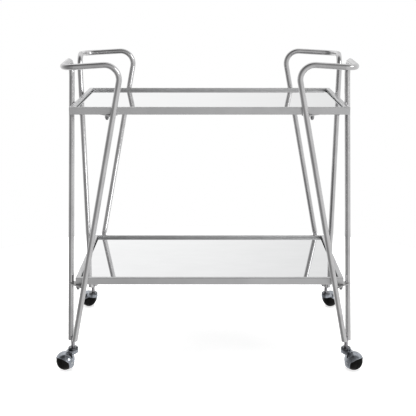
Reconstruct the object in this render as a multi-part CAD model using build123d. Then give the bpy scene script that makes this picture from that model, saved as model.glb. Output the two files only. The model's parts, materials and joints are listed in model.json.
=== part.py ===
"""Bar cart on wheels: two mirrored trays between four bent corner tubes on ball casters.

Frame: +Z up, X along the long side of the trays, Y along their depth. The origin is on
the floor, under the middle of the cart. All sizes are in millimetres.
"""
from build123d import *
import math
import os

# ---------------------------------------------------------------- driving dimensions
# Trays
tray_length = 757.0
tray_depth = 442.0
upper_tray_top = 744.0
lower_tray_top = 261.0

# Rails, ledges and what lies on them
rail_height = 20.0
rail_width = 12.0
rail_wall = 1.2
ledge_width = 18.0
ledge_thickness = 3.0
board_thickness = 6.0
board_clearance = 0.5
mirror_thickness = 4.0
mirror_clearance = 3.2
mirror_bevel = 0.6

# Corner tubes: each is one bent tube with two legs and a cornered handle
tube_diameter = 16.0
tube_wall = 1.2
tube_to_rail_gap = 1.9
leg_end_height = 78.0
leg_foot_gap = 1.5
leg_foot_past = 5.5
leg_end_trim = 3.0
leg_lean = 123.5
handle_end_rise = 116.5
handle_corner_rise = 107.0
handle_corner_out = 14.5
handle_end_bend = 38.0
handle_corner_bend = 30.0

# Diagonal brackets under the trays
bracket_width = 24.0
bracket_thickness = 3.0
upper_bracket_inset = 5.9
bracket_end_setback = 3.0
upper_nut_to_rail = 0.6
bolt_hole_clearance = 0.3

# Fasteners
bolt_diameter = 6.0
cap_nut_flats = 10.0
cap_nut_hexagon_height = 5.5
cap_nut_height = 11.0
cap_nut_dome_diameter = 9.4
cap_nut_thread_depth = 8.0
washer_diameter = 12.0
washer_thickness = 1.6
spring_washer_diameter = 10.0
spring_washer_split = 1.4
nut_flats = 10.0
nut_height = 5.0
nut_pocket_clearance = 0.6
corner_block_height = 12.0
corner_block_clearance = 0.2

# Casters
ball_diameter = 52.0
hood_to_stem = 3.6
caster_heading = 51.5
hood_gap = 0.8
hood_wall = 1.2
hood_cap_rise = 16.0
hood_cheek_half_width = 9.7
hood_cheek_tip_radius = 8.2
hood_floor_clearance = 10.0
hood_corner_fillet = 6.0
barrel_diameter = 28.5
barrel_rise = 16.0
barrel_height = 9.5
neck_spread = 0.75
swivel_play = 0.3
swivel_washer_thickness = 0.8
swivel_washer_diameter = 23.0
swivel_cap_height = 6.0
stem_diameter = 8.0
stem_floor = 2.5
stem_inset = 4.0
socket_diameter = 11.0
socket_overlap = 12.0
running_fit = 0.05
axle_diameter = 6.0
axle_recess = 0.6
axle_boss_diameter = 12.0
wheel_side_gap = 0.3
wheel_side_cut = 2.0
tyre_width = 20.0
tyre_depth = 5.0
tyre_stand_out = 0.3

# ---------------------------------------------------------------- derived dimensions
half_length = tray_length / 2
half_depth = tray_depth / 2
tube_radius = tube_diameter / 2
leg_tray_out = tube_radius + tube_to_rail_gap
leg_foot_out = leg_foot_past + (tube_diameter + leg_foot_gap) / math.sqrt(2)
handle_end_height = upper_tray_top + handle_end_rise
handle_corner_height = upper_tray_top + handle_corner_rise
stem_offset = (leg_foot_out + leg_foot_past) / 2
ball_radius = ball_diameter / 2
hood_inner = ball_radius + hood_gap
hood_outer = hood_inner + hood_wall
caster_trail = hood_outer + hood_to_stem
wheel_side_flat = ball_radius - wheel_side_cut
barrel_bottom = ball_radius + barrel_rise
barrel_top = barrel_bottom + barrel_height
washer_stack = 2 * washer_thickness
swivel_washer_bottom = barrel_top + swivel_play
swivel_cap_bottom = swivel_washer_bottom + swivel_washer_thickness
swivel_cap_top = swivel_cap_bottom + swivel_cap_height
socket_top = leg_end_height + socket_overlap
bolt_hole_radius = bolt_diameter / 2 + bolt_hole_clearance
upper_bolt_edge = rail_width + upper_nut_to_rail + nut_flats / 2

# Each corner is the same piece turned a quarter further round: name, turn, place.
CORNERS = {
    "back_right": (0, (half_length, half_depth)),
    "back_left": (90, (-half_length, half_depth)),
    "front_left": (180, (-half_length, -half_depth)),
    "front_right": (270, (half_length, -half_depth)),
}
TRAYS = {"upper": upper_tray_top, "lower": lower_tray_top}


def at_corner(shape, corner):
    """Put a piece drawn about the back right tray corner at the named corner."""
    turn, (x, y) = CORNERS[corner]
    return Pos(x, y, 0) * Rot(0, 0, turn) * shape


def save(shape, name):
    """Write one node."""
    export_step(shape, f"parts/{name}.step")


def group(shapes):
    """Keep equal pieces as separate solids of one node."""
    return Compound(children=list(shapes))


# ---------------------------------------------------------------- corner tubes
def leg_point(height):
    """Centre of the side leg: how far outside the tray's end, how far along, and height."""
    share = (height - leg_end_height) / (upper_tray_top - leg_end_height)
    outward = leg_foot_out + (leg_tray_out - leg_foot_out) * share
    along = leg_foot_past + (-leg_lean - leg_foot_past) * share
    return Vector(outward, along, height)


def other_leg(point):
    """The same point on the leg across the corner's diagonal."""
    return Vector(point.Y, point.X, point.Z)


def leg_rod(radius, low, high, mirrored=False):
    """A straight rod on a leg's centre line, used to cope what is welded to the leg."""
    start, end = leg_point(low), leg_point(high)
    if mirrored:
        start, end = other_leg(start), other_leg(end)
    line = Line(start, end)
    return sweep(Plane(start, z_dir=end - start) * Circle(radius), path=line)


def socket_space(radius, low, high):
    """A cylinder on the caster stem's axis."""
    return Pos(stem_offset, stem_offset, (low + high) / 2) * Cylinder(radius, high - low)


def corner_tube():
    """Leg, handle end, handle corner, handle end and leg, bent from one tube."""
    start = leg_point(leg_end_height - leg_end_trim)
    end_bend = leg_point(handle_end_height)
    corner = Vector(handle_corner_out, handle_corner_out, handle_corner_height)
    path = FilletPolyline(
        start,
        end_bend,
        corner,
        other_leg(end_bend),
        other_leg(start),
        radius=[handle_end_bend, handle_corner_bend, handle_end_bend],
    )
    section = Plane(start, z_dir=end_bend - start)
    tube = sweep(section * Circle(tube_radius), path=path)
    tube -= sweep(section * Circle(tube_radius - tube_wall), path=path)
    trim = Pos(stem_offset, stem_offset, leg_end_height - 2 * leg_end_trim) * Box(
        4 * tube_diameter, 4 * tube_diameter, 4 * leg_end_trim
    )
    return tube - trim - socket_space(socket_diameter / 2, swivel_cap_top, socket_top)


def stem_socket():
    """Sleeve welded into the crotch of the two leg ends; the caster's stem sits in it."""
    sleeve = socket_space(socket_diameter / 2, swivel_cap_top, socket_top)
    bore = socket_space(stem_diameter / 2, swivel_cap_top, socket_top - stem_inset)
    return sleeve - bore


# ---------------------------------------------------------------- trays
def mitred_bar(length, outer_inset, inner_inset, low, high):
    """A bar along X whose ends are mitred at 45 degrees, inset from the tray's edge."""
    outer, inner = length / 2 - outer_inset, length / 2 - inner_inset
    outline = Polyline(
        (-outer, -outer_inset),
        (outer, -outer_inset),
        (inner, -inner_inset),
        (-inner, -inner_inset),
        close=True,
    )
    return Pos(0, 0, low) * extrude(make_face(outline), high - low)


def on_side(shape, side):
    """Put a bar drawn along X with its edge at Y = 0 on one side of the tray."""
    turn = {"back": 0, "left": 90, "front": 180, "right": 270}[side]
    reach = half_depth if side in ("front", "back") else half_length
    return Rot(0, 0, turn) * Pos(0, reach, 0) * shape


def side_length(side):
    """Outside length of the tray on that side."""
    return tray_length if side in ("front", "back") else tray_depth


def rail(side, top):
    """Mitred rectangular tube, drilled at both ends of the lower tray for the bracket bolts."""
    low = top - rail_height
    length = side_length(side)
    bar = mitred_bar(length, 0, rail_width, low, top)
    hollow = mitred_bar(length, rail_wall, rail_width - rail_wall, low + rail_wall, top - rail_wall)
    bar = on_side(bar - hollow, side)
    if top == lower_tray_top:
        for corner in CORNERS:
            bar -= at_corner(bolt_hole(lower_bolt_places()[0], low - 1, low + rail_wall + 1), corner)
    return bar


def ledge(top):
    """Four flat bars round the inside of the rails, flush with their undersides."""
    low = top - rail_height
    holes = upper_bolt_places() if top == upper_tray_top else []
    bars = []
    for side in ("back", "left", "front", "right"):
        inner = rail_width + ledge_width
        bar = on_side(mitred_bar(side_length(side), rail_width, inner, low, low + ledge_thickness), side)
        for corner in CORNERS:
            for place in holes:
                bar -= at_corner(bolt_hole(place, low - 1, low + ledge_thickness + 1), corner)
        bars.append(bar)
    return group(bars)


def backing_board(top):
    """Board on the ledges; the upper one has blind pockets over the weld nuts."""
    low = top - rail_height + ledge_thickness
    edge = 2 * (rail_width + board_clearance)
    board = Pos(0, 0, low + board_thickness / 2) * Box(
        tray_length - edge, tray_depth - edge, board_thickness
    )
    if top == upper_tray_top:
        radius = nut_flats / math.sqrt(3) + nut_pocket_clearance
        depth = nut_height + nut_pocket_clearance
        for corner in CORNERS:
            for x, y in upper_bolt_places():
                pocket = Pos(x, y, low + depth / 2) * Cylinder(radius, depth)
                board -= at_corner(pocket, corner)
    return board


def mirror_plate(top):
    """Mirror glass on the board, with its upper edges bevelled."""
    low = top - rail_height + ledge_thickness + board_thickness
    edge = 2 * (rail_width + mirror_clearance)
    glass = Pos(0, 0, low + mirror_thickness / 2) * Box(
        tray_length - edge, tray_depth - edge, mirror_thickness
    )
    return chamfer(glass.faces().sort_by(Axis.Z)[-1].edges(), mirror_bevel)


# ---------------------------------------------------------------- brackets
def bracket_middle(top):
    """Middle of the bracket, on the corner's diagonal, and the half span to the legs."""
    leg = leg_point(top - rail_height - bracket_thickness / 2)
    half_span = (leg.X - leg.Y) / math.sqrt(2)
    if top == lower_tray_top:
        return -rail_width / 2, half_span
    return (leg.X + leg.Y) / 2 - upper_bracket_inset / math.sqrt(2), half_span


def bolt_hole(place, low, high):
    """Clearance hole for a bracket bolt."""
    x, y = place
    return Pos(x, y, (low + high) / 2) * Cylinder(bolt_hole_radius, high - low)


def upper_bolt_places():
    """The two bolts of an upper bracket, on its centre line and clear of the rails."""
    across, _ = bracket_middle(upper_tray_top)
    far = 2 * across + upper_bolt_edge
    return [(far, -upper_bolt_edge), (-upper_bolt_edge, far)]


def lower_bolt_places():
    """The one bolt of a lower bracket, on the mitre of the rails."""
    return [(-rail_width / 2, -rail_width / 2)]


def bracket(top):
    """Flat bar across the corner, coped to both legs and drilled for its bolts."""
    across, half_span = bracket_middle(top)
    high = top - rail_height
    low = high - bracket_thickness
    length = 2 * (half_span - bracket_end_setback)
    bar = Pos(across, across, low + bracket_thickness / 2) * Rot(0, 0, -45) * Box(
        length, bracket_width, bracket_thickness
    )
    for mirrored in (False, True):
        bar -= leg_rod(tube_radius, low - 2 * tube_diameter, high + 2 * tube_diameter, mirrored)
    for place in upper_bolt_places() if top == upper_tray_top else lower_bolt_places():
        bar -= bolt_hole(place, low - 1, high + 1)
    return bar


# ---------------------------------------------------------------- fasteners
def stud(reach):
    """Threaded stud: down into the cap nut, and up by its reach from Z = 0."""
    length = reach + cap_nut_thread_depth
    return Pos(0, 0, reach - length / 2) * Cylinder(bolt_diameter / 2, length)


def cap_nut():
    """Domed nut hanging from Z = 0, with a blind thread for the stud."""
    hexagon = RegularPolygon(cap_nut_flats / math.sqrt(3), 6)
    body = Pos(0, 0, -cap_nut_hexagon_height) * extrude(hexagon, cap_nut_hexagon_height)
    corner_cut = Cone(
        cap_nut_flats / 2, cap_nut_flats / 2 + cap_nut_hexagon_height, cap_nut_hexagon_height
    )
    body &= Pos(0, 0, -cap_nut_hexagon_height / 2) * corner_cut
    dome_radius = cap_nut_dome_diameter / 2
    dome = Sphere(dome_radius) + Pos(0, 0, dome_radius / 2) * Cylinder(dome_radius, dome_radius)
    dome = Pos(0, 0, dome_radius - cap_nut_height) * dome
    thread = Pos(0, 0, -cap_nut_thread_depth / 2) * Cylinder(
        bolt_diameter / 2, cap_nut_thread_depth
    )
    return body + dome - thread


def washer():
    """Plain washer standing on Z = 0."""
    ring = Circle(washer_diameter / 2) - Circle(bolt_diameter / 2 + bolt_hole_clearance)
    return extrude(ring, washer_thickness)


def spring_washer():
    """Split lock washer standing on Z = 0."""
    outer = spring_washer_diameter / 2
    ring = Circle(outer) - Circle(bolt_diameter / 2 + bolt_hole_clearance)
    split = Pos(outer, 0, washer_thickness / 2) * Rot(0, 15, 0) * Box(
        spring_washer_diameter, spring_washer_split, 3 * washer_thickness
    )
    return extrude(ring, washer_thickness) - split


def weld_nut():
    """Hexagon nut standing on Z = 0, with flats towards front and back."""
    hexagon = RegularPolygon(nut_flats / math.sqrt(3), 6)
    return extrude(hexagon - Circle(bolt_diameter / 2), nut_height)


def corner_block():
    """Threaded block inside the mitred corner of the lower rails."""
    size = rail_width - 2 * (rail_wall + corner_block_clearance)
    low = lower_tray_top - rail_height + rail_wall
    block = Pos(-rail_width / 2, -rail_width / 2, low + corner_block_height / 2) * Box(
        size, size, corner_block_height
    )
    thread = Cylinder(bolt_diameter / 2, corner_block_height)
    return block - Pos(-rail_width / 2, -rail_width / 2, low + corner_block_height / 2) * thread


def bolt_stacks():
    """Underside of the bracket, place and reach of the stud above its nut, for each bolt."""
    stacks = []
    for name, top in TRAYS.items():
        under = top - rail_height - bracket_thickness
        grip = washer_stack + bracket_thickness
        if name == "upper":
            reach = grip + ledge_thickness + nut_height
            places = upper_bolt_places()
        else:
            reach = grip + rail_wall + corner_block_height - 2
            places = lower_bolt_places()
        for corner in CORNERS:
            for place in places:
                stacks.append((corner, place, under, reach))
    return stacks


def fasteners():
    """Studs, cap nuts, washers, weld nuts and corner blocks, each as one group."""
    studs, caps, springs, washers, nuts = [], [], [], [], []
    for corner, (x, y), under, reach in bolt_stacks():
        studs.append(at_corner(Pos(x, y, under - washer_stack) * stud(reach), corner))
        caps.append(at_corner(Pos(x, y, under - washer_stack) * cap_nut(), corner))
        springs.append(at_corner(Pos(x, y, under - washer_stack) * spring_washer(), corner))
        washers.append(at_corner(Pos(x, y, under - washer_thickness) * washer(), corner))
    seat = upper_tray_top - rail_height + ledge_thickness
    for corner in CORNERS:
        for x, y in upper_bolt_places():
            turn = 30 if x > y else 0
            nuts.append(at_corner(Pos(x, y, seat) * Rot(0, 0, turn) * weld_nut(), corner))
    blocks = [at_corner(corner_block(), corner) for corner in CORNERS]
    return {
        "bracket_studs": studs,
        "bracket_cap_nuts": caps,
        "bracket_spring_washers": springs,
        "bracket_washers": washers,
        "tray_weld_nuts": nuts,
        "lower_corner_blocks": blocks,
    }


# ---------------------------------------------------------------- casters
# A caster is drawn about its stem's axis, with the ball ahead along +X and the axle on Y.
BALL = Pos(caster_trail, 0, ball_radius)


def across_wheel(radius, width):
    """A cylinder on the axle's line, centred on the ball."""
    return BALL * Rot(90, 0, 0) * Cylinder(radius, width)


def stem():
    """Stem fixed in the socket; its lower end turns in the hood's barrel."""
    low = barrel_bottom + stem_floor
    high = socket_top - stem_inset
    return Pos(0, 0, (low + high) / 2) * Cylinder(stem_diameter / 2, high - low)


def swivel_cap():
    """Cap pressed on the stem over the swivel."""
    middle = swivel_cap_bottom + swivel_cap_height / 2
    cap = Pos(0, 0, middle) * Cylinder(barrel_diameter / 2, swivel_cap_height)
    cap = chamfer(cap.faces().sort_by(Axis.Z)[-1].edges(), 2.5)
    cap = fillet(cap.edges().sort_by(Axis.Z)[0], 0.8)
    return cap - Pos(0, 0, swivel_cap_bottom) * Cylinder(stem_diameter / 2, 4 * swivel_cap_height)


def swivel_washer():
    """Plastic washer that the barrel turns against."""
    ring = Circle(swivel_washer_diameter / 2) - Circle(stem_diameter / 2)
    return Pos(0, 0, swivel_washer_bottom) * extrude(ring, swivel_washer_thickness)


def hood_outline():
    """Side view of the hood: a cap over the ball and a cheek down to each axle end."""
    reach = 2 * ball_radius
    slope_top = hood_cap_rise + reach - math.sqrt(hood_outer**2 - hood_cap_rise**2)
    shoulder = slope_top - (reach - hood_cheek_half_width)
    tip = hood_floor_clearance - ball_radius
    waist = tip + hood_cheek_tip_radius
    half = [
        (reach, 2 * reach),
        (reach, slope_top),
        (hood_cheek_half_width, shoulder),
        (hood_cheek_tip_radius, waist),
    ]
    right = Polyline(*half)
    end = RadiusArc(half[-1], (-hood_cheek_tip_radius, waist), hood_cheek_tip_radius)
    left = Polyline(*[(-x, z) for x, z in reversed(half)])
    top = Line((-reach, 2 * reach), (reach, 2 * reach))
    face = make_face([right, end, left, top])
    shoulders = [v for v in face.vertices() if abs(v.Y - shoulder) < 0.01]
    return fillet(shoulders, hood_corner_fillet)


def hood():
    """Cast hood: spherical cap and cheeks, neck, and the barrel that swivels on the stem."""
    shell = Sphere(hood_outer) - Sphere(hood_inner)
    side_view = extrude(Plane.XZ * hood_outline(), hood_outer, both=True)
    body = BALL * (shell & side_view)
    barrel_middle = (barrel_bottom + barrel_top) / 2
    neck_end = Vector(0, 0, barrel_middle)
    ball_middle = Vector(caster_trail, 0, ball_radius)
    reach = (ball_middle - neck_end).length
    slope = Plane(neck_end, z_dir=ball_middle - neck_end)
    cone = Solid.make_cone(barrel_diameter / 2, neck_spread * hood_inner, reach, slope)
    slab = Pos(0, 0, barrel_middle) * Box(200, 200, barrel_top - barrel_bottom)
    barrel = Pos(0, 0, barrel_middle) * Cylinder(barrel_diameter / 2, barrel_top - barrel_bottom)
    neck = (cone & slab) + barrel - BALL * Sphere((hood_inner + hood_outer) / 2)
    boss_face = wheel_side_flat + wheel_side_gap
    bosses = across_wheel(axle_boss_diameter / 2, 2 * hood_inner + hood_wall)
    bosses -= across_wheel(axle_boss_diameter, 2 * boss_face)
    body = body + neck + bosses
    bore_low = barrel_bottom + stem_floor - swivel_play
    bore = Pos(0, 0, bore_low) * Cylinder(
        stem_diameter / 2 + running_fit, 20, align=(Align.CENTER, Align.CENTER, Align.MIN)
    )
    return body - bore - across_wheel(axle_diameter / 2, 3 * hood_outer)


def axle():
    """Pin pressed through both cheeks."""
    return across_wheel(axle_diameter / 2, 2 * (hood_outer - axle_recess))


def wheel_core():
    """Ball wheel's hard core with a groove round its middle for the tyre."""
    core = BALL * Sphere(ball_radius - tyre_stand_out)
    core &= across_wheel(ball_radius, 2 * wheel_side_flat)
    groove = across_wheel(2 * ball_radius, tyre_width)
    groove -= across_wheel(ball_radius - tyre_depth, tyre_width)
    return core - groove - across_wheel(axle_diameter / 2 + running_fit, 3 * ball_radius)


def tyre():
    """Rubber tread that fills the groove and stands out a little."""
    band = BALL * Sphere(ball_radius) & across_wheel(2 * ball_radius, tyre_width)
    return band - across_wheel(ball_radius - tyre_depth, tyre_width)


def heading(corner):
    """Direction of the caster's trail in degrees from +X; it points outwards at rest."""
    sideways = caster_heading if "right" in corner else 180 - caster_heading
    return sideways if "back" in corner else -sideways


def caster_place(corner, turn):
    """Put a caster piece under the named corner."""
    x, y = CORNERS[corner][1]
    side_x, side_y = math.copysign(1, x), math.copysign(1, y)
    return Pos(x + side_x * stem_offset, y + side_y * stem_offset, 0) * Rot(0, 0, turn)


# ---------------------------------------------------------------- write the nodes
def main():
    os.makedirs("parts", exist_ok=True)
    tube, socket = corner_tube(), stem_socket()
    for corner in CORNERS:
        save(at_corner(tube, corner), f"{corner}_corner_tube")
        save(at_corner(socket, corner), f"{corner}_stem_socket")
    for tray, top in TRAYS.items():
        for side in ("front", "back", "left", "right"):
            save(rail(side, top), f"{tray}_tray_{side}_rail")
        save(ledge(top), f"{tray}_tray_ledge")
        save(backing_board(top), f"{tray}_tray_board")
        save(mirror_plate(top), f"{tray}_tray_mirror")
        plate = bracket(top)
        for corner in CORNERS:
            save(at_corner(plate, corner), f"{corner}_{tray}_bracket")
    for name, pieces in fasteners().items():
        save(group(pieces), name)
    turning = {
        "caster_hood": hood(),
        "caster_axle": axle(),
        "wheel_core": wheel_core(),
        "wheel_tyre": tyre(),
    }
    for corner in CORNERS:
        place = caster_place(corner, heading(corner))
        save(place * stem(), f"{corner}_caster_stem")
        for name, piece in turning.items():
            save(place * piece, f"{corner}_{name}")
    caps = [caster_place(corner, 0) * swivel_cap() for corner in CORNERS]
    save(group(caps), "caster_swivel_caps")
    rings = [caster_place(corner, 0) * swivel_washer() for corner in CORNERS]
    save(group(rings), "caster_swivel_washers")


main()
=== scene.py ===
# %% [markdown]
# # A mirrored bar cart on ball casters
# This file dresses a finished CAD model of a bar cart. The CAD already holds every
# solid at its true size, so each step here adds what a CAD solid can't show: finishes,
# softened edges, weld beads, rolled brims and the light that polished metal needs.

# %% Load the CAD frame
import bpy
import bmesh
import json
import math
from mathutils import Matrix, Vector


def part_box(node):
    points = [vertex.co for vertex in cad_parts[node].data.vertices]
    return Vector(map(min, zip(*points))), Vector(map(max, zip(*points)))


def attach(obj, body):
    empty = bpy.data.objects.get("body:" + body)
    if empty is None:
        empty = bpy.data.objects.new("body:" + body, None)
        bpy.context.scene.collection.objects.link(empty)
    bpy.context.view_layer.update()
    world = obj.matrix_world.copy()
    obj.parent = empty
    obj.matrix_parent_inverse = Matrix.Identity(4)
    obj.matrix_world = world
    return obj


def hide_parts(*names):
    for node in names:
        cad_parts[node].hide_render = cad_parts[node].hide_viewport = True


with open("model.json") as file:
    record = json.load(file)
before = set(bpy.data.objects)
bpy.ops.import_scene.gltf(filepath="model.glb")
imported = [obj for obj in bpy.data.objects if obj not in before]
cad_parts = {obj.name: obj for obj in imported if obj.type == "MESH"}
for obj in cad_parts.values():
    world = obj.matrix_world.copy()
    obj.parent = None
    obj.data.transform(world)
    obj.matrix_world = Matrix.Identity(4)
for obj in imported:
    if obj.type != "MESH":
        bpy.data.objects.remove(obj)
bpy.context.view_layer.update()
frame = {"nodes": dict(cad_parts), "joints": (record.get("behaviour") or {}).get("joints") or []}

nodes = frame["nodes"]
joints = {joint["name"]: joint for joint in frame["joints"]}
CORNERS = {
    "back_right": (1, 1),
    "back_left": (-1, 1),
    "front_left": (-1, -1),
    "front_right": (1, -1),
}
MM = 0.001
print("CAD nodes:", len(nodes), "joints:", len(joints))

# %% [markdown]
# ## The camera
# A long lens stands well back and a little above the upper tray, looking slightly down.
# The long lens keeps the legs nearly parallel, as in a catalogue picture, and the height
# shows both mirrors as thin bright strips between their rails.

# %% Camera
camera_data = bpy.data.cameras.new("cart_camera")
camera_data.lens = 78.71
camera_data.sensor_width = 36.0
camera_data.clip_end = 50.0
camera = bpy.data.objects.new("cart_camera", camera_data)
camera.location = (0.0, -2.65655, 1.0858)
camera.rotation_euler = (math.radians(75.694), 0.0, math.radians(0.1))
bpy.context.scene.collection.objects.link(camera)
bpy.context.scene.camera = camera
bpy.context.scene.view_settings.view_transform = "Standard"
print("camera at", tuple(camera.location))

# %% [markdown]
# ## Helpers for node trees
# Finishes and repeated pieces are both made from trees of nodes. These helpers add a
# node, set its inputs by name and join it to the others, so that each tree below reads
# as a short recipe instead of a page of wiring.


# %% Node helpers
def put(tree, kind, sockets=None, **settings):
    """Add one node. Sockets take plain values or the output of another node."""
    node = tree.nodes.new(kind)
    for key, value in settings.items():
        setattr(node, key, value)
    for key, value in (sockets or {}).items():
        if isinstance(value, bpy.types.NodeSocket):
            tree.links.new(value, node.inputs[key])
        else:
            node.inputs[key].default_value = value
    return node


def arithmetic(tree, operation, *terms):
    """A Math node on numbers or sockets."""
    sockets = dict(enumerate(terms))
    return put(tree, "ShaderNodeMath", sockets, operation=operation).outputs[0]


def blend(tree, factor, low, high):
    """Mix two colours, given as sockets or as red, green and blue."""
    node = put(tree, "ShaderNodeMix", {"Factor": factor}, data_type="RGBA")
    for index, value in ((6, low), (7, high)):
        if isinstance(value, bpy.types.NodeSocket):
            tree.links.new(value, node.inputs[index])
        else:
            node.inputs[index].default_value = (*value, 1)
    return node.outputs[2]


def between(tree, factor, low, high, start=0.35, stop=0.65):
    """Map a pattern from start..stop to the values low..high."""
    sockets = {"Value": factor, "From Min": start, "From Max": stop, "To Min": low, "To Max": high}
    return put(tree, "ShaderNodeMapRange", sockets).outputs[0]


# %% [markdown]
# ## Helpers for finishes
# Every finish is a Principled shader fed by noises on Object coordinates. Object
# coordinates are in metres on the real piece, so a noise scale of 900 means 900 grains
# in a metre whatever the piece. `finish` joins a colour, a roughness and a normal; what
# is the same all over a surface is set on the shader's own socket.


# %% Finish helpers
def new_finish(name):
    """A material with an empty tree, its Principled shader and its Object coordinates."""
    material = bpy.data.materials.new(name)
    material.use_nodes = True
    tree = material.node_tree
    tree.nodes.clear()
    output = tree.nodes.new("ShaderNodeOutputMaterial")
    shader = tree.nodes.new("ShaderNodeBsdfPrincipled")
    tree.links.new(shader.outputs[0], output.inputs["Surface"])
    place = tree.nodes.new("ShaderNodeTexCoord").outputs["Object"]
    return material, tree, shader, place


def noise(tree, place, scale, detail=2.0, rough=0.5, stretch=(1, 1, 1), offset=0.0):
    """Noise on Object coordinates; scale is in blobs per metre."""
    shift = (offset, 1.7 * offset, -offset)
    moved = put(tree, "ShaderNodeMapping", {"Vector": place, "Scale": stretch, "Location": shift})
    sockets = {"Vector": moved.outputs[0], "Scale": scale, "Detail": detail, "Roughness": rough}
    return put(tree, "ShaderNodeTexNoise", sockets).outputs["Fac"]


def relief(tree, height, depth, under=None):
    """Turn a height pattern into a bump; depth is in metres."""
    sockets = {"Height": height, "Distance": depth, "Strength": 1.0}
    if under is not None:
        sockets["Normal"] = under
    return put(tree, "ShaderNodeBump", sockets).outputs[0]


def finish(tree, shader, colour, roughness, normal, metallic=0.0, specular=0.5):
    """Join the three patterns to the shader and set what is constant."""
    tree.links.new(colour, shader.inputs["Base Color"])
    tree.links.new(roughness, shader.inputs["Roughness"])
    tree.links.new(normal, shader.inputs["Normal"])
    shader.inputs["Metallic"].default_value = metallic
    shader.inputs["Specular IOR Level"].default_value = specular


# %% [markdown]
# ## Plated tube
# The bent tubes are nickel plated over a satin polish. Real plating is never one even
# grey: it is a touch warmer where it is thick, faintly cloudy, and its fine polishing
# grain scatters the light. Three noises of different sizes give the cloud, the change in
# gloss and the grain. The sleeves under the legs get the same plate made darker: that is
# painted shade, for the crotch between the legs where they sit.


# %% Satin plate on the tubes
def tube_plate(name, dark, light):
    material, tree, shader, place = new_finish(name)
    cloud = between(tree, noise(tree, place, 22, 3), 0, 1)
    dents = relief(tree, noise(tree, place, 60), 0.00004)
    finish(tree, shader,
           blend(tree, cloud, dark, light),
           between(tree, noise(tree, place, 140, 3), 0.15, 0.22),
           relief(tree, noise(tree, place, 900, 2, 0.6), 0.00001, dents),
           metallic=1.0)
    return material


tube_finish = tube_plate("satin_nickel_tube", (0.57, 0.565, 0.57), (0.65, 0.645, 0.65))
# The sleeve plate is darker than the tube plate: painted shade for the crotch between the legs.
sleeve_shaded_plate = tube_plate("nickel_sleeve_painted_shade", (0.33, 0.32, 0.335), (0.41, 0.4, 0.415))
print("finishes:", tube_finish.name, sleeve_shaded_plate.name)

# %% [markdown]
# ## Silver lacquer on the rails
# The tray rails are sprayed with silver lacquer, which is duller than plate. Tiny metal
# flakes sit in it at every angle, so its grain is much finer than the tubes', and its
# colour drifts slowly along the rail as the spray gun's passes overlap.


# %% Rail lacquer
def rail_lacquer():
    material, tree, shader, place = new_finish("satin_silver_rail")
    drift = between(tree, noise(tree, place, 14, 3, offset=3), 0, 1)
    finish(tree, shader,
           blend(tree, drift, (0.63, 0.63, 0.635), (0.69, 0.69, 0.695)),
           between(tree, noise(tree, place, 90, 3), 0.34, 0.42),
           relief(tree, noise(tree, place, 2500, 2, 0.7), 0.00001),
           metallic=1.0)
    return material


rail_finish = rail_lacquer()
print("finish:", rail_finish.name)

# %% [markdown]
# ## Flat bar
# Ledges and brackets are rolled flat bar under the same lacquer. Rolling leaves shallow
# scale marks that the lacquer doesn't fill, so this finish has a deeper bump and a wider
# spread of gloss.


# %% Lacquer on the flat bar
def flat_bar_lacquer():
    material, tree, shader, place = new_finish("satin_silver_flat_bar")
    drift = between(tree, noise(tree, place, 30, 3, offset=5), 0, 1)
    finish(tree, shader,
           blend(tree, drift, (0.46, 0.46, 0.46), (0.53, 0.53, 0.53)),
           between(tree, noise(tree, place, 160, 3), 0.3, 0.42),
           relief(tree, noise(tree, place, 500, 3, 0.6), 0.00003),
           metallic=1.0)
    return material


flat_bar_finish = flat_bar_lacquer()
print("finish:", flat_bar_finish.name)

# %% [markdown]
# ## Zinc on the small steel parts
# Bright zinc grows in small crystals that each catch the light a little differently.
# Voronoi cells stand for the crystals: each cell has its own grey, gloss and height.
# The nuts under the brackets are older, duller zinc, darkened by oil in patches.


# %% Bright and dull zinc
def bright_zinc():
    material, tree, shader, place = new_finish("bright_zinc")
    cells = put(tree, "ShaderNodeTexVoronoi", {"Vector": place, "Scale": 700}).outputs["Color"]
    grey = put(tree, "ShaderNodeRGBToBW", {"Color": cells}).outputs[0]
    finish(tree, shader,
           blend(tree, grey, (0.58, 0.59, 0.6), (0.7, 0.71, 0.72)),
           between(tree, grey, 0.24, 0.38, 0, 1),
           relief(tree, grey, 0.00002),
           metallic=1.0)
    return material


def dull_zinc():
    material, tree, shader, place = new_finish("dull_zinc_nuts")
    oil = between(tree, noise(tree, place, 260, 4, 0.6), 0, 1)
    finish(tree, shader,
           blend(tree, oil, (0.22, 0.22, 0.225), (0.42, 0.42, 0.43)),
           between(tree, noise(tree, place, 600), 0.26, 0.4),
           relief(tree, noise(tree, place, 1800), 0.00002),
           metallic=1.0)
    return material


zinc_finish = bright_zinc()
nut_finish = dull_zinc()
print("finishes:", zinc_finish.name, nut_finish.name)

# %% [markdown]
# ## Chrome on the casters
# The hoods are cast, buffed and chromed. Buffing leaves slow waves in the casting, so the
# room bends in it, and handling leaves dull smears. The waves are one coarse bump, the
# smears one stretched noise that drives both colour and gloss. Chrome is faintly blue. The
# swivel caps above the hoods have a darker, greyer chrome.


# %% Polished chrome
def polished_chrome(name, dark, light):
    material, tree, shader, place = new_finish(name)
    smear = noise(tree, place, 120, 4, 0.65, (1, 1, 0.4))
    waves = relief(tree, noise(tree, place, 110, 1), 0.0006)
    finish(tree, shader,
           blend(tree, between(tree, smear, 0, 1), dark, light),
           between(tree, smear, 0.04, 0.13),
           relief(tree, noise(tree, place, 1500), 0.000004, waves),
           metallic=1.0)
    return material


chrome_finish = polished_chrome("polished_chrome", (0.29, 0.31, 0.34), (0.43, 0.455, 0.495))
cap_finish = polished_chrome("black_chrome_cap", (0.15, 0.155, 0.165), (0.25, 0.26, 0.275))
print("finishes:", chrome_finish.name, cap_finish.name)

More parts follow.
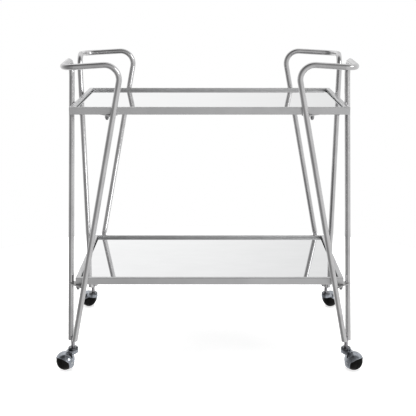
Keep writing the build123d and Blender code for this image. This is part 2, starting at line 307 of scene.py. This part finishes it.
# %% [markdown]
# ## Mirror glass
# A mirror is almost clean: its colour is only what glass and silver take away. What makes
# it real is a few wiped marks, a very slow waviness and the greener cut edge, which looks
# into the thickness of the glass. The edge is found from the surface's own direction:
# faces that don't point up are the edge.


# %% Silvered mirror glass
def mirror_glass():
    material, tree, shader, place = new_finish("mirror_glass")
    wiped = noise(tree, place, 9, 4, 0.6, (1, 2.5, 1))
    normal = put(tree, "ShaderNodeTexCoord").outputs["Normal"]
    up = put(tree, "ShaderNodeSeparateXYZ", {"Vector": normal}).outputs["Z"]
    edge = between(tree, up, 1, 0, 0.5, 0.95)
    face = blend(tree, between(tree, wiped, 0, 1), (0.91, 0.915, 0.92), (0.935, 0.94, 0.945))
    finish(tree, shader,
           blend(tree, edge, face, (0.5, 0.58, 0.55)),
           between(tree, wiped, 0.004, 0.02),
           relief(tree, noise(tree, place, 3, 1), 0.00002),
           metallic=1.0)
    return material


mirror_finish = mirror_glass()
print("finish:", mirror_finish.name)

# %% [markdown]
# ## Black board, moulding, rubber and nylon
# Four blacks that must not look alike. Fibreboard shows its fibres through the paint; the
# moulded wheel has a fine even grain and some gloss; rubber is the dullest and holds dust;
# nylon is waxy and a little lighter. One recipe with different sizes makes all four.


# %% The four blacks
def black(name, dark, light, patch, gloss, grain, specular, stretch=(1, 1, 1)):
    """patch: noise scale; gloss: low and high roughness; grain: scale and depth."""
    material, tree, shader, place = new_finish(name)
    pattern = noise(tree, place, patch, 4, 0.7, stretch)
    finish(tree, shader,
           blend(tree, between(tree, pattern, 0, 1), (dark, dark, dark), (light, light, light)),
           between(tree, pattern, *gloss),
           relief(tree, noise(tree, place, grain[0], 3), grain[1]),
           specular=specular)
    return material


FIBRES_ALONG_X = (0.3, 1, 1)
board_finish = black("black_fibreboard", 0.012, 0.028, 350, (0.6, 0.8), (350, 0.0001), 0.4,
                     FIBRES_ALONG_X)
moulding_finish = black("black_moulding", 0.004, 0.009, 130, (0.3, 0.42), (2200, 0.00003), 0.08)
rubber_finish = black("black_rubber", 0.002, 0.007, 420, (0.45, 0.65), (1500, 0.00004), 0.06)
nylon_finish = black("black_nylon", 0.015, 0.035, 300, (0.35, 0.5), (1600, 0.00002), 0.35)
print("finishes:", board_finish.name, moulding_finish.name, rubber_finish.name, nylon_finish.name)

# %% [markdown]
# ## Giving the CAD nodes their finishes
# Each CAD node came with an empty material named after its slot in the record, so one
# table from slot to finish dresses the whole frame. The swivel caps then get their own
# darker chrome, and the sleeves their darker plate of painted shade.

# %% Dress the CAD nodes
FINISHES = {
    "satin_tube": tube_finish,
    "satin_rail": rail_finish,
    "satin_plate": flat_bar_finish,
    "zinc_steel": zinc_finish,
    "bolt_steel": nut_finish,
    "chrome": chrome_finish,
    "mirror_glass": mirror_finish,
    "black_board": board_finish,
    "wheel_plastic": moulding_finish,
    "tyre_rubber": rubber_finish,
    "swivel_plastic": nylon_finish,
}
for node in nodes.values():
    for holder in node.material_slots:
        holder.material = FINISHES[holder.material.name]
nodes["caster_swivel_caps"].material_slots[0].material = cap_finish
# The sleeves get the darker plate: painted shade for where they sit between the legs.
for corner in CORNERS:
    nodes[f"{corner}_stem_socket"].material_slots[0].material = sleeve_shaded_plate
print("finishes:", len(FINISHES) + 2)

# %% [markdown]
# ## Mitred rails with rounded edges
# Rectangular tube is rolled from strip, so its long edges are round, and a hard CAD edge
# gives it away at once. Each rail is made again in mesh code: one rounded section, put at
# both ends on the slanted mitre plane and joined along the length. Just before each
# mitre the section steps in a little, which leaves the fine V of a ground-flush weld.

# %% Rail section
RAIL_WIDTH = 12 * MM
EDGE_RADIUS = 1.4 * MM
SEAM_DEPTH = 0.35 * MM
SEAM_WIDTH = 0.5 * MM


def rounded_section(width, height, radius, inset, steps=5):
    """Points round a rectangle with round corners, as (across, up) from its outer foot."""
    points = []
    centres = [(width - radius, radius, -90), (width - radius, height - radius, 0),
               (radius, height - radius, 90), (radius, radius, 180)]
    for u, v, start in centres:
        for step in range(steps + 1):
            angle = math.radians(start + 90 * step / steps)
            reach = radius - inset
            points.append((u + reach * math.cos(angle), v + reach * math.sin(angle)))
    return points


print("points round a rail:", len(rounded_section(RAIL_WIDTH, 20 * MM, EDGE_RADIUS, 0)))

# %% [markdown]
# Every piece below ends the same way: its mesh gets a finish and smooth shading, it rides
# on a body, and it may hide the CAD node that it stands for.

# %% Handing a piece over
MADE = []


def hand_over(name, mesh, material, body, replaced=()):
    """Turn a finished mesh into a piece that rides on a body."""
    piece = bpy.data.objects.new(name, mesh)
    bpy.context.scene.collection.objects.link(piece)
    mesh.materials.clear()
    mesh.materials.append(material)
    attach(piece, body)
    if replaced:
        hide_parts(*replaced)
    MADE.append(piece)
    return piece


def mesh_of(name, shape, sharp=40):
    """Close a bmesh into a mesh with outward normals, sharp only at real edges."""
    bmesh.ops.recalc_face_normals(shape, faces=shape.faces)
    mesh = bpy.data.meshes.new(name)
    shape.to_mesh(mesh)
    shape.free()
    mesh.shade_smooth()
    mesh.set_sharp_from_angle(angle=math.radians(sharp))
    return mesh


# %% [markdown]
# The eight rails differ only in place and length, so each is built from the box of the
# CAD rail that it stands for. Only the outside is made, closed at both mitres. The
# tube's hollow and its bolt holes stay in the CAD node, since nothing shows them.


# %% Rails
def rail_mesh(name, low, high, along):
    """A mitred rail that fills a box; along is 0 for X and 1 for Y."""
    middle = (low + high) / 2
    outward = math.copysign(1, middle[1 - along])
    outer = high[1 - along] if outward > 0 else low[1 - along]
    half = (high[along] - low[along]) / 2
    rings = []
    shape = bmesh.new()
    for end in (-1, 1):
        for inset, back in ((SEAM_DEPTH, 0), (0, SEAM_WIDTH)):
            ring = []
            for across, up in rounded_section(RAIL_WIDTH, high[2] - low[2], EDGE_RADIUS, inset):
                point = [0, 0, low[2] + up]
                point[along] = middle[along] + end * (half - across - back)
                point[1 - along] = outer - outward * across
                ring.append(shape.verts.new(point))
            rings.append(ring)
    ordered = [rings[0], rings[1], rings[3], rings[2]]
    for first, second in zip(ordered, ordered[1:]):
        for i in range(len(first)):
            j = (i + 1) % len(first)
            shape.faces.new((first[i], first[j], second[j], second[i]))
    shape.faces.new(ordered[0])
    shape.faces.new(ordered[-1])
    return mesh_of(name, shape, sharp=32)


for tray in ("upper", "lower"):
    for side in ("front", "back", "left", "right"):
        node = f"{tray}_tray_{side}_rail"
        low, high = (Vector(corner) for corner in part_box(node))
        name = f"{tray}_{side}_rail_skin"
        mesh = rail_mesh(name, low, high, 0 if side in ("front", "back") else 1)
        hand_over(name, mesh, rail_finish, "cart", [node])
print("rails:", len(MADE))

# %% [markdown]
# ## Softened edges on plates and nuts
# Sheared flat bar and rolled nuts have no knife edges. Here the CAD shape is right and
# only its edges are too sharp, so a copy of the CAD mesh is merged, its flat faces are
# joined again, and a Bevel modifier rounds what is left. Weighted normals keep the flats
# flat. The modifiers are turned into plain mesh before the piece is handed over.


# %% Softened copies
def softened(node, width, segments=2):
    """A copy of a CAD node's mesh with its sharp edges rounded."""
    shape = bmesh.new()
    shape.from_mesh(nodes[node].data)
    bmesh.ops.remove_doubles(shape, verts=shape.verts, dist=0.002 * MM)
    bmesh.ops.dissolve_limit(
        shape, angle_limit=math.radians(0.6), verts=shape.verts, edges=shape.edges)
    mesh = bpy.data.meshes.new(f"{node}_copy")
    shape.to_mesh(mesh)
    shape.free()
    mesh.shade_smooth()
    holder = bpy.data.objects.new(f"{node}_copy", mesh)
    bpy.context.scene.collection.objects.link(holder)
    bevel = holder.modifiers.new("edges", "BEVEL")
    bevel.width = width
    bevel.segments = segments
    bevel.limit_method = "ANGLE"
    bevel.angle_limit = math.radians(50)
    holder.modifiers.new("normals", "WEIGHTED_NORMAL")
    return plain_mesh(holder)


def plain_mesh(holder):
    """The evaluated mesh of an object, which is then removed."""
    graph = bpy.context.evaluated_depsgraph_get()
    mesh = bpy.data.meshes.new_from_object(holder.evaluated_get(graph), depsgraph=graph)
    bpy.data.objects.remove(holder)
    return mesh


for corner in CORNERS:
    for tray in ("upper", "lower"):
        node = f"{corner}_{tray}_bracket"
        hand_over(f"{node}_plate", softened(node, 0.5 * MM), flat_bar_finish, "cart",
                  [node])
hand_over("domed_nuts", softened("bracket_cap_nuts", 0.35 * MM), nut_finish, "cart",
          ["bracket_cap_nuts"])
print("pieces so far:", len(MADE))

# %% [markdown]
# ## A tree for welds
# A hand weld is a row of small puddles, each frozen over the edge of the last. One
# Geometry Nodes tree makes them all: it takes the line of the joint, divides it by the
# pitch, puts a flattened bead on each point, turns it along the line, and varies its size
# a little from a fixed seed. The same tree serves brackets and sleeves.


# %% Weld tree
def empty_tree(name, sizes):
    """A Geometry Nodes tree with one geometry input and the named size inputs."""
    tree = bpy.data.node_groups.new(name, "GeometryNodeTree")
    side = tree.interface
    side.new_socket("Line", in_out="INPUT", socket_type="NodeSocketGeometry")
    for label, value in sizes.items():
        socket = side.new_socket(label, in_out="INPUT", socket_type="NodeSocketFloat")
        socket.default_value = value
    side.new_socket("Geometry", in_out="OUTPUT", socket_type="NodeSocketGeometry")
    return tree, put(tree, "NodeGroupInput").outputs


def close_tree(tree, geometry, material):
    """Realize, shade smooth, give the finish and end the tree."""
    real = put(tree, "GeometryNodeRealizeInstances", {"Geometry": geometry})
    smooth = put(tree, "GeometryNodeSetShadeSmooth", {"Geometry": real.outputs[0]})
    done = put(tree, "GeometryNodeSetMaterial",
               {"Geometry": smooth.outputs[0], "Material": material})
    put(tree, "NodeGroupOutput", {"Geometry": done.outputs[0]})
    return tree


def weld_tree():
    tree, given = empty_tree("weld_run", {"Bead Pitch": 1.3 * MM, "Bead Radius": 1.5 * MM})
    line = put(tree, "GeometryNodeMeshToCurve", {"Mesh": given["Line"]})
    spaced = put(tree, "GeometryNodeResampleCurve",
                 {"Curve": line.outputs[0], "Length": given["Bead Pitch"]}, mode="LENGTH")
    puddle = put(tree, "GeometryNodeMeshUVSphere",
                 {"Segments": 10, "Rings": 6, "Radius": given["Bead Radius"]})
    flat = put(tree, "GeometryNodeTransform",
               {"Geometry": puddle.outputs[0], "Scale": (1.0, 1.0, 0.62)})
    heading = put(tree, "GeometryNodeInputTangent").outputs[0]
    turned = put(tree, "FunctionNodeAlignRotationToVector", {"Vector": heading}, axis="Z")
    size = put(tree, "FunctionNodeRandomValue", data_type="FLOAT")
    size.inputs[2].default_value, size.inputs[3].default_value = 0.85, 1.12
    size.inputs["Seed"].default_value = 7
    placed = put(tree, "GeometryNodeInstanceOnPoints",
                 {"Points": spaced.outputs[0], "Instance": flat.outputs[0],
                  "Rotation": turned.outputs[0]})
    tree.links.new(size.outputs[1], placed.inputs["Scale"])
    return close_tree(tree, placed.outputs[0], tube_finish)


WELD = weld_tree()
print("weld tree nodes:", len(WELD.nodes))

# %% [markdown]
# A tree works on an object, so a joint's lines are first put in a mesh of bare edges. The
# modifier's inputs are set by their identifiers, and the result is turned to plain mesh.


# %% Running a tree along lines
def grown(name, tree, lines, sizes, closed=False):
    """Run a tree along lines, each a list of points, and return a plain mesh."""
    points, edges = [], []
    for line in lines:
        first = len(points)
        points += [tuple(point) for point in line]
        edges += [(first + i, first + i + 1) for i in range(len(line) - 1)]
        if closed:
            edges.append((len(points) - 1, first))
    mesh = bpy.data.meshes.new(f"{name}_lines")
    mesh.from_pydata(points, edges, [])
    holder = bpy.data.objects.new(f"{name}_lines", mesh)
    bpy.context.scene.collection.objects.link(holder)
    modifier = holder.modifiers.new("tree", "NODES")
    modifier.node_group = tree
    for item in tree.interface.items_tree:
        if item.item_type == "SOCKET" and item.in_out == "INPUT" and item.name in sizes:
            modifier[item.identifier] = sizes[item.name]
    return plain_mesh(holder)


# %% [markdown]
# ## Leg lines
# The legs' centre lines say where brackets and sleeves are welded. Each leg runs straight
# from its foot beside the caster's stem to the height of the upper tray. Both ends are
# given as offsets from the corner of the upper tray's box.

# %% Leg lines
TUBE_RADIUS = 8 * MM
LEG_FOOT = (17.874 * MM, 5.5 * MM, 78 * MM)
LEG_TOP = (9.9 * MM, -123.5 * MM, 744 * MM)
tray_edge = Vector(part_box("upper_tray_front_rail")[1])
tray_corner = (tray_edge.x, -Vector(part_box("upper_tray_front_rail")[0]).y)


def leg_centre(corner, swapped, height):
    """Centre of one of a corner's two legs; swapped is the leg along the long side."""
    share = (height - LEG_FOOT[2]) / (LEG_TOP[2] - LEG_FOOT[2])
    out, along = (LEG_FOOT[i] + (LEG_TOP[i] - LEG_FOOT[i]) * share for i in (0, 1))
    if swapped:
        out, along = along, out
    side_x, side_y = CORNERS[corner]
    return Vector((side_x * (tray_corner[0] + out), side_y * (tray_corner[1] + along), height))


print("tray corner:", [round(v, 4) for v in tray_corner])

# %% [markdown]
# ## Welds on the brackets
# Each bracket is coped to its legs and welded above and below. The weld's line is an arc
# of the leg's own circle, on the side that faces the bracket.


# %% Bracket welds
def bracket_arc(corner, swapped, tray, height):
    """Arc round a leg where a face of the bracket meets it."""
    centre = leg_centre(corner, swapped, height)
    low, high = (Vector(v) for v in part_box(f"{corner}_{tray}_bracket"))
    middle = (low + high) / 2
    inward = math.atan2(middle.y - centre.y, middle.x - centre.x)
    reach = TUBE_RADIUS + 0.5 * MM
    arc = []
    for step in range(13):
        angle = inward + math.radians(-62 + 124 * step / 12)
        arc.append(centre + Vector((reach * math.cos(angle), reach * math.sin(angle), 0)))
    return arc


bracket_lines = []
for corner in CORNERS:
    for tray in ("upper", "lower"):
        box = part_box(f"{corner}_{tray}_bracket")
        for face, lift in ((0, -0.2 * MM), (1, 0.2 * MM)):
            for swapped in (False, True):
                bracket_lines.append(bracket_arc(corner, swapped, tray, box[face][2] + lift))
sizes = {"Bead Pitch": 1.4 * MM, "Bead Radius": 1.3 * MM}
mesh = grown("bracket_welds", WELD, bracket_lines, sizes)
hand_over("bracket_welds", mesh, tube_finish, "cart")
print("bracket welds:", len(bracket_lines), "faces:", len(mesh.polygons))

# %% [markdown]
# ## Welds on the sleeves
# The sleeve for the caster's stem sits in the crotch of the two legs. Four short welds
# run up where its round side touches the legs. A leg's circle and the sleeve's circle
# cross at two points at each height, and the weld's line follows them.

# %% Sleeve welds
SLEEVE_RADIUS = 5.5 * MM
WELD_START = 0.4 * MM
WELD_RUN = 11 * MM


def sleeve_lines(corner):
    """The lines where the two legs meet the sleeve, from the leg ends upward."""
    stem = Vector(joints[f"{corner}_swivel"]["pos_m"])
    lines = []
    for swapped in (False, True):
        for side in (-1, 1):
            line = []
            for step in range(9):
                height = LEG_FOOT[2] + WELD_START + WELD_RUN * step / 8
                leg = leg_centre(corner, swapped, height)
                gap = Vector((leg.x - stem.x, leg.y - stem.y, 0))
                apart = gap.length
                near = (SLEEVE_RADIUS**2 - TUBE_RADIUS**2 + apart**2) / (2 * apart)
                rise = math.sqrt(max(SLEEVE_RADIUS**2 - near**2, 0))
                way = gap.normalized()
                across = Vector((-way.y, way.x, 0)) * side
                line.append(Vector((stem.x, stem.y, height)) + way * near + across * rise)
            lines.append(line)
    return lines


lines = [line for corner in CORNERS for line in sleeve_lines(corner)]
mesh = grown("sleeve_welds", WELD, lines, {"Bead Pitch": 1.2 * MM, "Bead Radius": 1.1 * MM})
hand_over("sleeve_welds", mesh, tube_finish, "cart")
print("sleeve welds:", len(lines), "faces:", len(mesh.polygons))

# %% [markdown]
# ## Turned pieces
# Plugs, rivet heads and tyres are all round, so one helper turns a profile about an
# axis. A profile that starts and ends on the axis gives a closed piece with clean poles.


# %% Turning a profile
def turned_shape(shape, profile, place, steps=40):
    """Turn (radius, rise) points about the Z axis of a matrix; radius 0 makes a pole."""
    rings = []
    for radius, rise in profile:
        if radius == 0:
            rings.append([shape.verts.new(place @ Vector((0, 0, rise)))])
            continue
        ring = []
        for step in range(steps):
            angle = 2 * math.pi * step / steps
            point = Vector((radius * math.cos(angle), radius * math.sin(angle), rise))
            ring.append(shape.verts.new(place @ point))
        rings.append(ring)
    for first, second in zip(rings, rings[1:]):
        for i in range(steps):
            j = (i + 1) % steps
            corners = [first[i % len(first)], first[j % len(first)],
                       second[j % len(second)], second[i % len(second)]]
            shape.faces.new(list(dict.fromkeys(corners)))


# %% [markdown]
# ## Leg plugs
# An open tube end would cut the floor of whoever drags the cart without its casters, so
# each leg end holds a black nylon plug with a domed face, pushed in until it is nearly
# flush. From below it hides the tube's bore.

# %% Leg plugs
PLUG_DEPTH = 1.2 * MM
PLUG = [(0, -1.0), (3.0, -0.85), (5.2, -0.4), (6.3, 0.1), (6.7, 0.7), (6.7, 7.0), (0, 7.0)]
profile = [(radius * MM, rise * MM) for radius, rise in PLUG]
shape = bmesh.new()
for corner in CORNERS:
    for swapped in (False, True):
        foot = leg_centre(corner, swapped, LEG_FOOT[2] + PLUG_DEPTH)
        turned_shape(shape, profile, Matrix.Translation(foot))
hand_over("leg_plugs", mesh_of("leg_plugs", shape, 60), nylon_finish, "cart")
print("plugs: 8")

# %% [markdown]
# ## Axes of a caster
# The casters all point different ways. A matrix for each one puts the ball's centre at
# the origin, the axle on Y and the way from stem to ball on X. It comes from the joints,
# so every caster piece can be drawn once.


# %% Caster frames
def caster_frame(corner):
    """Matrix from a caster's own axes to the cart's."""
    ball = Vector(joints[f"{corner}_wheel_spin"]["pos_m"])
    axle = Vector(joints[f"{corner}_wheel_spin"]["axis"]).normalized()
    ahead = axle.cross(Vector((0, 0, 1)))
    stem = Vector(joints[f"{corner}_swivel"]["pos_m"])
    if ahead.dot(ball - stem) < 0:
        ahead, axle = -ahead, -axle
    columns = Matrix((ahead, axle, Vector((0, 0, 1)))).transposed().to_4x4()
    return Matrix.Translation(ball) @ columns


FRAMES = {corner: caster_frame(corner) for corner in CORNERS}
BALL_RADIUS = joints["front_left_wheel_spin"]["pos_m"][2]
HOOD_WALL_MIDDLE = 1.4 * MM
HOOD_WALL_OUTSIDE = 2 * MM
HOOD_RADIUS = BALL_RADIUS + HOOD_WALL_MIDDLE
print("ball radius:", round(BALL_RADIUS / MM, 2), "mm")

# %% [markdown]
# ## Rolled brim
# The hood's open edge is rolled into a bead, with a small pointed lip at the front that
# keeps threads out of the wheel. The bead follows the hood's edge: down the 45 degree
# slope, round the cheek and up again, always on the sphere of the hood's wall.

# %% Brim line
CAP_RISE = 16 * MM
CHEEK_HALF = 9.7 * MM
TIP_RADIUS = 8.2 * MM
SHOULDER_ROUND = 2.4 * MM
SHOULDER_DROP = 3.2 * MM
TIP_DROP = BALL_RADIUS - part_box("front_left_caster_hood")[0][2]
LIP_REACH = 3.0 * MM
LIP_LIFT = 1.2 * MM
LIP_SPREAD = 6.5 * MM


def on_hood(x, z, side):
    """The point of the hood's sphere above a point of its side view."""
    return Vector((x, side * math.sqrt(max(HOOD_RADIUS**2 - x**2 - z**2, 0)), z))


def brim_side_view():
    """The hood's edge from the side: slope, shoulder and half of the cheek's tip."""
    slope = CAP_RISE - math.sqrt((BALL_RADIUS + HOOD_WALL_OUTSIDE) ** 2 - CAP_RISE**2)
    front = (-slope + math.sqrt(2 * HOOD_RADIUS**2 - slope**2)) / 2
    shoulder, waist = CHEEK_HALF + slope, TIP_RADIUS - TIP_DROP
    points = []
    for step in range(16):
        x = front + (CHEEK_HALF + SHOULDER_ROUND - front) * (step / 15)
        points.append((x, x + slope))
    for share in (0.25, 0.5, 0.75):
        bend = SHOULDER_ROUND * (1 - share) ** 2
        points.append((CHEEK_HALF + bend, shoulder + bend - SHOULDER_DROP * share**2))
    low = shoulder - SHOULDER_DROP
    for step in range(8):
        share = step / 8
        points.append((CHEEK_HALF + (TIP_RADIUS - CHEEK_HALF) * share, low + (waist - low) * share))
    for step in range(12):
        angle = math.pi / 2 * step / 12
        points.append((TIP_RADIUS * math.cos(angle), waist - TIP_RADIUS * math.sin(angle)))
    return points


def brim_line():
    """The whole closed edge, with the lip pushed out at the front."""
    half = brim_side_view()
    tip = (0, -TIP_DROP)
    one_side = half + [tip] + [(-x, z) for x, z in reversed(half)]
    loop = [on_hood(x, z, 1) for x, z in one_side]
    loop += [on_hood(x, z, -1) for x, z in reversed(one_side[1:-1])]
    for point in loop:
        if point.x > 0:
            peak = math.exp(-(point.y / LIP_SPREAD) ** 2)
            share = max(0.0, (point.x - 0.7 * HOOD_RADIUS) / (0.3 * HOOD_RADIUS))
            peak *= min(1.0, 2 * share)
            point.x += LIP_REACH * peak
            point.z += LIP_LIFT * peak
    return loop


BRIM = brim_line()
print("brim points:", len(BRIM))

# %% [markdown]
# A short tree makes the bead itself: Mesh to Curve takes the closed line, and Curve to
# Mesh runs a round section along it. All four hoods share the tree, each with a line of
# its own in the frame of its caster.

# %% Bead tree
BEAD_RADIUS = 1.1 * MM


def bead_tree(name, material, radius):
    tree, given = empty_tree(name, {"Bead Radius": radius})
    line = put(tree, "GeometryNodeMeshToCurve", {"Mesh": given["Line"]})
    ring = put(tree, "GeometryNodeCurvePrimitiveCircle",
               {"Resolution": 10, "Radius": given["Bead Radius"]})
    bead = put(tree, "GeometryNodeCurveToMesh",
               {"Curve": line.outputs[0], "Profile Curve": ring.outputs[0]})
    return close_tree(tree, bead.outputs[0], material)


BRIM_TREE = bead_tree("rolled_brim", chrome_finish, BEAD_RADIUS)
for corner in CORNERS:
    line = [FRAMES[corner] @ point for point in BRIM]
    name = f"{corner}_hood_brim"
    mesh = grown(name, BRIM_TREE, [line], {"Bead Radius": BEAD_RADIUS}, closed=True)
    hand_over(name, mesh, chrome_finish, f"{corner}_caster")
print("brim faces:", len(mesh.polygons))

# %% [markdown]
# ## Peened axle ends
# The axle is a soft pin whose ends are peened over in the cheeks' recesses. Each end is a
# low dome with the punch's dimple in its middle.

# %% Axle ends
PEENED = [(0, 27.5), (0.7, 27.55), (1.1, 27.85), (1.7, 28.0), (2.4, 27.85), (2.8, 27.4),
          (2.8, 27.0), (0, 27.0)]
profile = [(radius * MM, rise * MM) for radius, rise in PEENED]
for corner in CORNERS:
    shape = bmesh.new()
    for turn in (90, -90):
        place = FRAMES[corner] @ Matrix.Rotation(math.radians(turn), 4, "X")
        turned_shape(shape, profile, place, 28)
    name = f"{corner}_axle_ends"
    hand_over(name, mesh_of(name, shape, 50), zinc_finish, f"{corner}_caster")
print("axle ends: 8")

# %% [markdown]
# ## Tyres
# The tread is a rubber band moulded round the ball. Its shoulders are rounded where it
# meets the hard core, and the mould's halves left a fine line round its middle. The
# profile is turned about the axle and takes the place of the CAD tyre.

# %% Tyres
TYRE_HALF = 10 * MM
EDGE_WIDTH = 0.9 * MM
EDGE_SINK = 0.45 * MM
MOULD_LINE = 0.14 * MM
GROOVE_FLOOR = BALL_RADIUS - 5 * MM


def tyre_profile():
    """The band's section from one shoulder to the other, closed through its inside."""
    outside = []
    for step in range(25):
        across = -TYRE_HALF + 2 * TYRE_HALF * step / 24
        edge = max(0.0, abs(across) - (TYRE_HALF - EDGE_WIDTH)) / EDGE_WIDTH
        sunk = EDGE_SINK * edge**2 + (MOULD_LINE if step == 12 else 0)
        outside.append((math.sqrt(BALL_RADIUS**2 - across**2) - sunk, across))
    start, end = (GROOVE_FLOOR, -TYRE_HALF), (GROOVE_FLOOR, TYRE_HALF)
    return [start, *outside, end, start]


for corner in CORNERS:
    shape = bmesh.new()
    place = FRAMES[corner] @ Matrix.Rotation(math.radians(90), 4, "X")
    turned_shape(shape, tyre_profile(), place, 72)
    bmesh.ops.remove_doubles(shape, verts=shape.verts, dist=0.001 * MM)
    name = f"{corner}_tread"
    hand_over(name, mesh_of(name, shape, 45), rubber_finish, f"{corner}_wheel",
              [f"{corner}_wheel_tyre"])
print("pieces made:", len(MADE))

# %% [markdown]
# ## Floor
# A white floor that runs out to white. It gives a little light of its own, like a lit
# acrylic table, so that the cart leaves no broad grey shadow and only darkens the floor
# where a wheel touches it. Glossy metal doesn't see it: the room below does that job.


# %% White floor
def floor_finish():
    material, tree, shader, place = new_finish("white_floor")
    cloud = noise(tree, place, 6, 2)
    finish(tree, shader,
           blend(tree, cloud, (0.93, 0.93, 0.93), (0.96, 0.96, 0.96)),
           between(tree, noise(tree, place, 30), 0.7, 0.8),
           relief(tree, noise(tree, place, 400), 0.0001),
           specular=0.1)
    shader.inputs["Emission Color"].default_value = (1, 1, 1, 1)
    shader.inputs["Emission Strength"].default_value = 0.62
    return material


bpy.ops.mesh.primitive_circle_add(vertices=96, radius=1.25, fill_type="NGON")
floor = bpy.context.object
floor.name = "studio_floor"
floor.data.materials.append(floor_finish())
floor.visible_glossy = False
print("floor radius 1.25 m")

# %% [markdown]
# ## The room in the metal
# Polished metal shows its surroundings more than itself, so the room is the real finish
# of this cart. It is bright behind the cart, dark to the left of the camera, and grows
# brighter towards the right: that is what gives each tube its light and dark streaks.
# The room is a ramp round the compass, dimmed with height on the camera's side. A small
# bright window to the right puts one white spot on each chromed hood. Rays straight from
# the camera see plain white instead.

# %% Room light
ROUND = [
    (-180, 0.94), (-172, 1.0), (-130, 1.0), (-100, 0.6), (-75, 0.35), (-48, 0.28),
    (-29, 0.33), (-15, 0.42), (0, 0.55), (12, 0.75), (30, 0.85), (67, 0.8),
    (90, 0.9), (130, 1.0), (172, 0.83), (180, 0.94),
]
RISE_BEFORE = [(-1, 0.85), (-0.5, 1.0), (0.1, 1.0), (0.5, 0.65), (0.9, 0.3), (1, 0.3)]
RISE_BEHIND = [(-1, 0.85), (0.27, 1.0), (0.37, 0.92), (0.6, 1.0), (1, 1.05)]


WINDOW = (0.76, -0.48, 0.44)
WINDOW_STRENGTH = 5.0


def grey_ramp(tree, factor, stops, low, high):
    """A ramp of greys; each stop is a place between low and high, and a brightness."""
    ramp = put(tree, "ShaderNodeValToRGB", {0: between(tree, factor, 0, 1, low, high)})
    elements = ramp.color_ramp.elements
    while len(elements) < len(stops):
        elements.new(0.5)
    for element, (place, value) in zip(elements, stops):
        element.position = (place - low) / (high - low)
        element.color = (value, value, value, 1)
    return ramp.outputs[0]


def studio_room():
    world = bpy.data.worlds.new("studio_room")
    bpy.context.scene.world = world
    world.use_nodes = True
    tree = world.node_tree
    tree.nodes.clear()
    direction = put(tree, "ShaderNodeTexCoord").outputs["Generated"]
    x, y, z = put(tree, "ShaderNodeSeparateXYZ", {"Vector": direction}).outputs
    turn = arithmetic(tree, "ARCTAN2", x, arithmetic(tree, "MULTIPLY", y, -1.0))
    turn = arithmetic(tree, "MULTIPLY", turn, 180 / math.pi)
    compass = grey_ramp(tree, turn, ROUND, -180, 180)
    before = grey_ramp(tree, z, RISE_BEFORE, -1, 1)
    behind = grey_ramp(tree, z, RISE_BEHIND, -1, 1)
    rise = blend(tree, between(tree, y, 0, 1, -0.2, 0.2), before, behind)
    lit = put(tree, "ShaderNodeMix", {"Factor": 1.0}, data_type="RGBA", blend_type="MULTIPLY")
    tree.links.new(compass, lit.inputs[6])
    tree.links.new(rise, lit.inputs[7])
    toward = put(tree, "ShaderNodeVectorMath", {0: direction, 1: WINDOW}, operation="DOT_PRODUCT")
    window = between(tree, toward.outputs["Value"], 0, 1, 0.972, 0.985)
    open_room = blend(tree, window, lit.outputs[2], [WINDOW_STRENGTH] * 3)
    room = put(tree, "ShaderNodeBackground", {"Color": open_room, "Strength": 1.0})
    plain = put(tree, "ShaderNodeBackground", {"Color": (1, 1, 1, 1), "Strength": 1.0})
    seen = put(tree, "ShaderNodeLightPath").outputs["Is Camera Ray"]
    joined = put(tree, "ShaderNodeMixShader", {0: seen, 1: room.outputs[0], 2: plain.outputs[0]})
    put(tree, "ShaderNodeOutputWorld", {"Surface": joined.outputs[0]})


studio_room()
print("room stops:", len(ROUND))

# %% [markdown]
# ## Soft boxes
# Two wide lamps light what isn't metal: the black wheels, the boards and the floor. The
# metal doesn't see them, because a lamp's hard outline in a tube would fight with the
# room's soft streaks.


# %% Soft boxes
def soft_box(name, place, target, size, power):
    data = bpy.data.lights.new(name, "AREA")
    data.shape = "RECTANGLE"
    data.size, data.size_y = size
    data.energy = power
    lamp = bpy.data.objects.new(name, data)
    lamp.location = place
    aim = Vector(target) - Vector(place)
    lamp.rotation_euler = aim.to_track_quat("-Z", "Y").to_euler()
    lamp.visible_glossy = False
    bpy.context.scene.collection.objects.link(lamp)


soft_box("overhead_lamp", (0, 0.3, 2.8), (0, 0.1, 0), (3.2, 2.6), 62)
soft_box("left_lamp", (-2.6, -0.9, 1.7), (0, 0, 0.4), (0.9, 1.6), 22)
print("soft boxes: 2")
